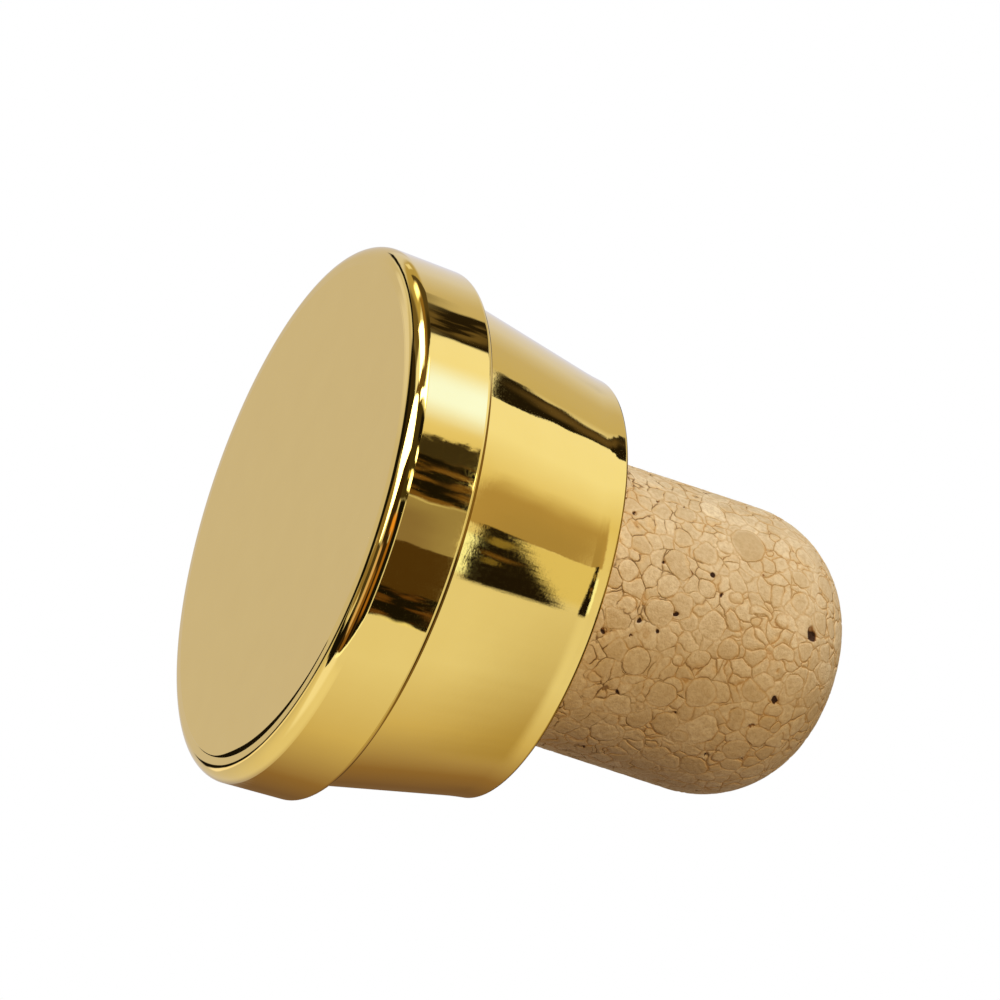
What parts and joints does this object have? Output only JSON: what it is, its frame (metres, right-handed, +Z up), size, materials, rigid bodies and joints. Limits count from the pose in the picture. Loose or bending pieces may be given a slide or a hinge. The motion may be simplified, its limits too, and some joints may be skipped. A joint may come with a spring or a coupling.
{
  "type": "bottle stopper",
  "caption": "Bar-top bottle stopper: gold-plated round head with a flat face, stepped crown and tapering skirt, glued on an agglomerated cork shank with a rounded end",
  "frame": {"origin": "centre of the head's flat face, which the stopper stands on, at z = 0", "axes": "+Z runs up the stopper's axis of revolution from the head's flat face to the rounded end of the shank; +X and +Y are free, because the part is round"},
  "size_m": [0.0366, 0.0366, 0.0384],
  "materials": {
    "head": "mirror gold plating under a clear lacquer, on a moulded head",
    "cork_shank": "bare agglomerated cork, tan granules with fine brown seams and small dark pits"
  },
  "bodies": {
    "root": {"head": "head", "cork_shank": "cork_shank"}
  },
  "joints": []
}
